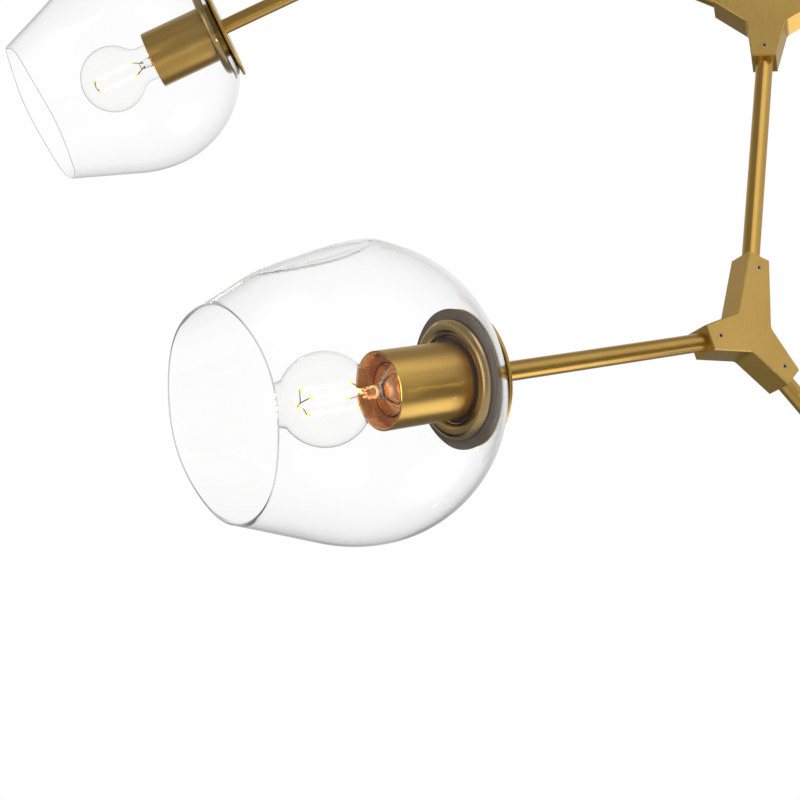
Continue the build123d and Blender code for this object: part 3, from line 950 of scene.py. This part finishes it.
# %% Bulb envelopes
CAP_BACK, CAP_FRONT, CAP_R = 213.0, 239.0, 13.0
NECK_SUNK = 4.0
SKIRT_FLOOR = CAP_FRONT - NECK_SUNK
NECK_R, BALL_R, THROAT_R, BULB_WALL = 12.0, 22.3, 10.0, 0.4
BULB_TIP = 297.0
BALL_L = BULB_TIP - BALL_R


def envelope_side(wall):
    """Points of one side of the bulb's wall, from the neck's foot to the tip."""
    neck, ball, throat = NECK_R - wall, BALL_R - wall, THROAT_R + wall
    drop = math.sqrt((ball + throat) ** 2 - (neck + throat) ** 2)
    turn = math.degrees(math.asin(drop / (ball + throat)))
    return [
        (neck, SKIRT_FLOOR, 0),
        *arc((neck + throat, BALL_L - drop), throat, 180, 180 - turn, 8),
        *arc((0, BALL_L), ball, -turn, 90, 26)[1:],
    ]


envelope_outline = envelope_side(0.0) + envelope_side(BULB_WALL)[::-1]
envelope_mesh = turned("envelope", envelope_outline, [bulb_glass], segments=64, sharp=60)
dress_bulbs(envelope_mesh, "bulb_envelope", kind="bulb_glass")
print("envelope has", len(envelope_mesh.polygons), "faces")

# %% [markdown]
# ### Trees that draw
# Thin pieces that repeat are drawn by Geometry Nodes trees with named inputs. Each tree
# is run on a base mesh and its result is kept as a plain mesh, which then rides on its
# body like any other piece.

# %% Geometry Nodes helpers
WIRE_SIDES = 10


def new_tree(name, sizes, materials):
    """Geometry tree with named inputs for its sizes and its finishes."""
    tree = bpy.data.node_groups.new(name, "GeometryNodeTree")
    face = tree.interface
    face.new_socket("Geometry", in_out="INPUT", socket_type="NodeSocketGeometry")
    for label in sizes:
        face.new_socket(label, in_out="INPUT", socket_type=FLOAT)
    for label in materials:
        face.new_socket(label, in_out="INPUT", socket_type="NodeSocketMaterial")
    face.new_socket("Geometry", in_out="OUTPUT", socket_type="NodeSocketGeometry")
    entry = tree.nodes.new("NodeGroupInput")
    leave = tree.nodes.new("NodeGroupOutput")
    return tree, entry.outputs, leave


def grown(name, tree, base, values):
    """Run a tree on a base mesh with the given inputs and return a plain mesh."""
    holder = bpy.data.objects.new(name, base)
    bpy.context.scene.collection.objects.link(holder)
    modifier = holder.modifiers.new(name, "NODES")
    modifier.node_group = tree
    for socket in tree.interface.items_tree:
        if socket.in_out == "INPUT" and socket.name in values:
            modifier[socket.identifier] = values[socket.name]
    bpy.context.view_layer.update()
    ready = holder.evaluated_get(bpy.context.evaluated_depsgraph_get())
    mesh = bpy.data.meshes.new_from_object(ready)
    bpy.data.objects.remove(holder)
    mesh.name = name
    return mesh


def finish_tree(tree, leave, shape):
    """Realize what is instanced and send it out."""
    real = add_node(tree, "GeometryNodeRealizeInstances", {0: shape})
    feed(tree, leave, {0: real.outputs[0]})


def painted(tree, shape, material):
    """Smooth shape with a material from the tree's inputs."""
    smooth = add_node(tree, "GeometryNodeSetShadeSmooth", {"Geometry": shape})
    paint = add_node(tree, "GeometryNodeSetMaterial", {
        "Geometry": smooth.outputs["Geometry"], "Material": material,
    })
    return paint.outputs["Geometry"]


def point_at(tree, x, z):
    """Vector socket from X and Z, which are sockets or numbers."""
    return add_node(tree, "ShaderNodeCombineXYZ", {"X": x, "Z": z}).outputs[0]


def swept_round(tree, curve, radius):
    """Round bar of some radius along a curve."""
    ring = add_node(tree, "GeometryNodeCurvePrimitiveCircle", {
        "Resolution": WIRE_SIDES, "Radius": radius,
    })
    sweep = add_node(tree, "GeometryNodeCurveToMesh", {
        "Curve": curve, "Profile Curve": ring.outputs["Curve"], "Fill Caps": True,
    })
    return sweep.outputs["Mesh"]


def wire_between(tree, start, end, radius):
    """Round wire between two points."""
    line = add_node(tree, "GeometryNodeCurvePrimitiveLine", {"Start": start, "End": end})
    return swept_round(tree, line.outputs["Curve"], radius)


empty_mesh = bpy.data.meshes.new("start")
print("tree helpers ready")

# %% [markdown]
# ### Filaments
# Four straight filaments stand round the axis. Each one is a lit phosphor rod with a
# dimmer yellow end at either side, a lead from the glass flare to its foot, and a thin
# wire from its tip back to the middle. The tree draws one and repeats it by turning.

# %% Filament tree
FLARE_TOP = 255.0
ROOT_DEPTH = 3.5
filament_tree, size, filament_out = new_tree(
    "filaments",
    ("Count", "Circle", "Foot", "Length", "Width", "End", "Lead", "Root", "Root Height"),
    ("Lit", "Ends", "Wire"),
)
offset, thick, thin = (
    number_node(filament_tree, "MULTIPLY", size[label], 0.5)
    for label in ("Circle", "Width", "Lead")
)
tip = number_node(filament_tree, "ADD", size["Foot"], size["Length"])
foot_end = number_node(filament_tree, "ADD", size["Foot"], size["End"])
tip_end = number_node(filament_tree, "SUBTRACT", tip, size["End"])
hook = number_node(filament_tree, "ADD", tip, size["End"])
foot_point, tip_point, lit_from, lit_to = (
    point_at(filament_tree, offset, height) for height in (size["Foot"], tip, foot_end, tip_end)
)
root_point = point_at(filament_tree, size["Root"], size["Root Height"])
hook_point = point_at(filament_tree, 0.0, hook)
one_filament = add_node(filament_tree, "GeometryNodeJoinGeometry")
for start, end, radius, finish in (
    (lit_from, lit_to, thick, "Lit"),
    (foot_point, lit_from, thick, "Ends"),
    (lit_to, tip_point, thick, "Ends"),
    (root_point, foot_point, thin, "Wire"),
    (tip_point, hook_point, thin, "Wire"),
):
    wire = wire_between(filament_tree, start, end, radius)
    feed(filament_tree, one_filament, {0: painted(filament_tree, wire, size[finish])})
print("filament tree has", len(filament_tree.nodes), "nodes so far")

# %% Filaments round the axis
turn_step = number_node(filament_tree, "DIVIDE", 2 * math.pi, size["Count"])
which = add_node(filament_tree, "GeometryNodeInputIndex")
turn_by = number_node(filament_tree, "MULTIPLY", which.outputs[0], turn_step)
spots = add_node(filament_tree, "GeometryNodePoints", {"Count": size["Count"]})
repeat = add_node(filament_tree, "GeometryNodeInstanceOnPoints", {
    "Points": spots.outputs[0], "Instance": one_filament.outputs[0],
    "Rotation": point_at(filament_tree, 0.0, turn_by),
})
finish_tree(filament_tree, filament_out, repeat.outputs[0])
filament_mesh = grown("filaments", filament_tree, empty_mesh, {
    "Count": 4.0, "Circle": 12.0 * MM, "Foot": 258.5 * MM, "Length": 28.0 * MM,
    "Width": 1.8 * MM, "End": 1.6 * MM, "Lead": 0.5 * MM, "Root": 1.2 * MM,
    "Root Height": (FLARE_TOP - ROOT_DEPTH) * MM,
    "Lit": filament_lit, "Ends": filament_end, "Wire": lead_metal,
})
dress_bulbs(filament_mesh, "filaments")
print("filaments have", len(filament_mesh.polygons), "faces")

# %% [markdown]
# ### Screw cap
# The cap is a pressed metal sleeve whose thread is a rolled round ridge. A spiral curve
# swept by a circle gives that ridge its true lead. The cap's floor shows through the
# bulb's neck, painted with the same copper glow as the cups. It has fine round beads,
# which break that painted glow up into small lights.

# %% Cap thread tree
SPIRAL_STEPS = 48
thread_tree, thread, thread_out = new_tree(
    "cap_thread", ("Turns", "Radius", "Pitch", "Ridge", "Start"), ("Metal",)
)
thread_height = number_node(thread_tree, "MULTIPLY", thread["Turns"], thread["Pitch"])
spiral = add_node(thread_tree, "GeometryNodeCurveSpiral", {
    "Resolution": SPIRAL_STEPS, "Rotations": thread["Turns"], "Height": thread_height,
    "Start Radius": thread["Radius"], "End Radius": thread["Radius"],
})
lifted = add_node(thread_tree, "GeometryNodeTransform", {
    "Geometry": swept_round(thread_tree, spiral.outputs[0], thread["Ridge"]),
    "Translation": point_at(thread_tree, 0.0, thread["Start"]),
})
finish_tree(thread_tree, thread_out, painted(thread_tree, lifted.outputs[0], thread["Metal"]))
THREAD_RIDGE, THREAD_FROM = 1.1, 7.5
thread_mesh = grown("cap_thread", thread_tree, empty_mesh, {
    "Turns": 4.0, "Radius": (CAP_R - THREAD_RIDGE) * MM, "Pitch": 3.6 * MM,
    "Ridge": THREAD_RIDGE * MM, "Start": (CAP_BACK + THREAD_FROM) * MM, "Metal": cap_metal,
})
dress_bulbs(thread_mesh, "cap_thread")
print("thread has", len(thread_mesh.polygons), "faces")

# %% Caps
THREAD_STANDS = 0.6
SLEEVE_R = CAP_R - THREAD_STANDS
NECK_HOLE_R = NECK_R + 0.05
BEAD_ROWS, BEAD_STEP, BEAD_HEIGHT = 9, 1.1, 0.5
# The cap's front edge and floor take the painted copper glow of the lit bulb.
PLAIN, COPPER_GLOW = 0, 1
cap_outline = [
    (0, CAP_BACK, PLAIN), (4.5, CAP_BACK, PLAIN), (5.2, CAP_BACK + 0.8, PLAIN),
    (SLEEVE_R - 0.8, CAP_BACK + 5.6, PLAIN), (SLEEVE_R, CAP_BACK + 6.4, PLAIN),
    (SLEEVE_R, CAP_FRONT - 0.4, COPPER_GLOW), (SLEEVE_R - 0.1, CAP_FRONT, COPPER_GLOW),
    (NECK_HOLE_R, CAP_FRONT, COPPER_GLOW), (NECK_HOLE_R, SKIRT_FLOOR, COPPER_GLOW),
]
for step in range(1, BEAD_ROWS):
    bead = BEAD_HEIGHT * (step % 2)
    cap_outline.append((NECK_R - BEAD_STEP * step, SKIRT_FLOOR - BEAD_HEIGHT + bead, COPPER_GLOW))
cap_outline.append((0, SKIRT_FLOOR - BEAD_HEIGHT, COPPER_GLOW))
cap_mesh = turned("cap", cap_outline, [cap_metal, cup_copper_glow], segments=64)
dress_bulbs(cap_mesh, "bulb_cap", kind="bulb_core")
print("cap has", len(cap_mesh.polygons), "faces")

# %% [markdown]
# ### Flare
# The flare is the glass foot that carries the leads: a hollow trumpet closed at its tip.
# It is turned like the other round pieces, from an outer side up to the tip and an
# inner side back down.

# %% Flares
flare_points = (
    (8.0, SKIRT_FLOOR + 0.05), (6.4, SKIRT_FLOOR + 3), (4.6, SKIRT_FLOOR + 7),
    (3.3, SKIRT_FLOOR + 12), (2.7, FLARE_TOP - 2), (2.0, FLARE_TOP - 0.4), (0, FLARE_TOP),
    (0, SKIRT_FLOOR + 10), (2.4, SKIRT_FLOOR + 9), (3.8, SKIRT_FLOOR + 6),
    (5.8, SKIRT_FLOOR + 2.4), (7.2, SKIRT_FLOOR + 0.05),
)
flare_outline = [(radius, height, 0) for radius, height in flare_points]
flare_mesh = turned("flare", flare_outline, [flare_glass], segments=48, sharp=60)
dress_bulbs(flare_mesh, "bulb_flare")
print("flare has", len(flare_mesh.polygons), "faces")

# %% [markdown]
# ## Grub screws
# Three small steel screws sit in each hub's face, one near the end of every arm. The
# tree puts a screw on each point of a small mesh, turned along a stored direction, and
# cuts the hexagon socket with a boolean, so the key's hole is really there; its walls
# are painted dark as shade.

# %% Grub screw tree
GRUB_R, GRUB_FROM_END, GRUB_SINK = 1.48, 8.0, 0.2
HUB_HALF, HUB_SHORT, HUB_LONG = 8.0, 34.0, 49.0
GRUB_FOOT = 5.1
GRUB_LENGTH = HUB_HALF - GRUB_SINK - GRUB_FOOT
SHANK_SIDES, KEY_SIDES = 32, 6
screw_tree, screw, screw_out = new_tree(
    "grub_screws", ("Radius", "Length", "Key", "Key Depth"), ("Steel", "Socket")
)


def painted_bar(sides, radius, height, material):
    """Upright bar with a flat finish, for the screw tree."""
    bar = add_node(screw_tree, "GeometryNodeMeshCylinder", {
        "Vertices": sides, "Radius": radius, "Depth": height,
    })
    paint = add_node(screw_tree, "GeometryNodeSetMaterial", {
        "Geometry": bar.outputs["Mesh"], "Material": material,
    })
    return paint.outputs[0]


half_down = number_node(screw_tree, "MULTIPLY", screw["Length"], -0.5)
key_height = number_node(screw_tree, "MULTIPLY", screw["Key Depth"], 2)
shank = add_node(screw_tree, "GeometryNodeTransform", {
    "Geometry": painted_bar(SHANK_SIDES, screw["Radius"], screw["Length"], screw["Steel"]),
    "Translation": point_at(screw_tree, 0.0, half_down),
})
cut = add_node(screw_tree, "GeometryNodeMeshBoolean", {
    "Mesh 1": shank.outputs[0],
    "Mesh 2": painted_bar(KEY_SIDES, screw["Key"], key_height, screw["Socket"]),
}, operation="DIFFERENCE")
facing = add_node(screw_tree, "GeometryNodeInputNamedAttribute", {
    "Name": "facing",
}, data_type="FLOAT_VECTOR")
align = add_node(screw_tree, "FunctionNodeAlignEulerToVector", {
    "Vector": facing.outputs["Attribute"],
}, axis="Z")
place_screws = add_node(screw_tree, "GeometryNodeInstanceOnPoints", {
    "Points": screw["Geometry"], "Instance": cut.outputs["Mesh"],
    "Rotation": align.outputs["Rotation"],
})
finish_tree(screw_tree, screw_out, place_screws.outputs[0])
print("screw tree has", len(screw_tree.nodes), "nodes")

# %% Screws on the hubs
HUB_ARMS = ((0, HUB_LONG), (120, HUB_SHORT), (240, HUB_SHORT))


def screw_points(hubs):
    """Mesh of points where the screws of some hubs show, with their directions."""
    points, directions = [], []
    for hub in hubs:
        for turn, reach in HUB_ARMS:
            arm = Matrix.Rotation(math.radians(turn), 4, "Z") @ Vector((0, 1, 0))
            spot = arm * (reach - GRUB_FROM_END) + UP * (HUB_HALF - GRUB_SINK)
            points.append(hub @ (spot * MM))
            directions.append(hub.to_3x3() @ UP)
    mesh = bpy.data.meshes.new("screw_points")
    mesh.from_pydata(points, [], [])
    stored = mesh.attributes.new("facing", "FLOAT_VECTOR", "POINT")
    stored.data.foreach_set("vector", [v for d in directions for v in d])
    return mesh


SCREW_NODES = {
    "frame": "hub_screws", "left_drop": "left_drop_screws", "right_drop": "right_drop_screws",
}
for body, hubs in hub_frames.items():
    screw_mesh = grown(f"{body}_grub_screws", screw_tree, screw_points(hubs), {
        "Radius": GRUB_R * MM, "Length": GRUB_LENGTH * MM, "Key": 0.95 * MM,
        # The socket's walls take the dark sleeve finish: painted shade in the key's hole.
        "Key Depth": 1.4 * MM, "Steel": steel, "Socket": sleeve_and_painted_shade,
    })
    screws = bpy.data.objects.new(f"{body}_grub_screws", screw_mesh)
    bpy.context.scene.collection.objects.link(screws)
    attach(screws, body)
    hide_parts(SCREW_NODES[body])
    print(body, "screws:", len(hubs) * len(HUB_ARMS))

# %% [markdown]
# ## Finishes on the CAD nodes that stay
# Hubs, rods, discs, stem, canopy and bracket already have their true shape, so they
# only take a finish.

# %% Finishes on CAD nodes
STAYING = {
    hub_brass: ("centre_hub", "chain_hubs", "left_drop_hub", "right_drop_hub"),
    rod_brass: (
        "chain_rods", "drop_rods", "stem", "canopy_cover", "canopy_collar",
        "upper_lamp_rods", "left_lamp_rods", "right_lamp_rods",
        "upper_back_discs", "left_back_discs", "right_back_discs",
    ),
    steel: ("collar_screw",),
    bracket_zinc: ("ceiling_bracket", "stem_nuts"),
    holder_brown: ("upper_lampholders", "left_lampholders", "right_lampholders"),
    sleeve_and_painted_shade: ("wiring", "left_drop_wiring", "right_drop_wiring"),
}
for material, names in STAYING.items():
    for name in names:
        mesh = nodes[name].data
        mesh.materials.clear()
        mesh.materials.append(material)
print("finishes on", sum(len(names) for names in STAYING.values()), "CAD nodes")
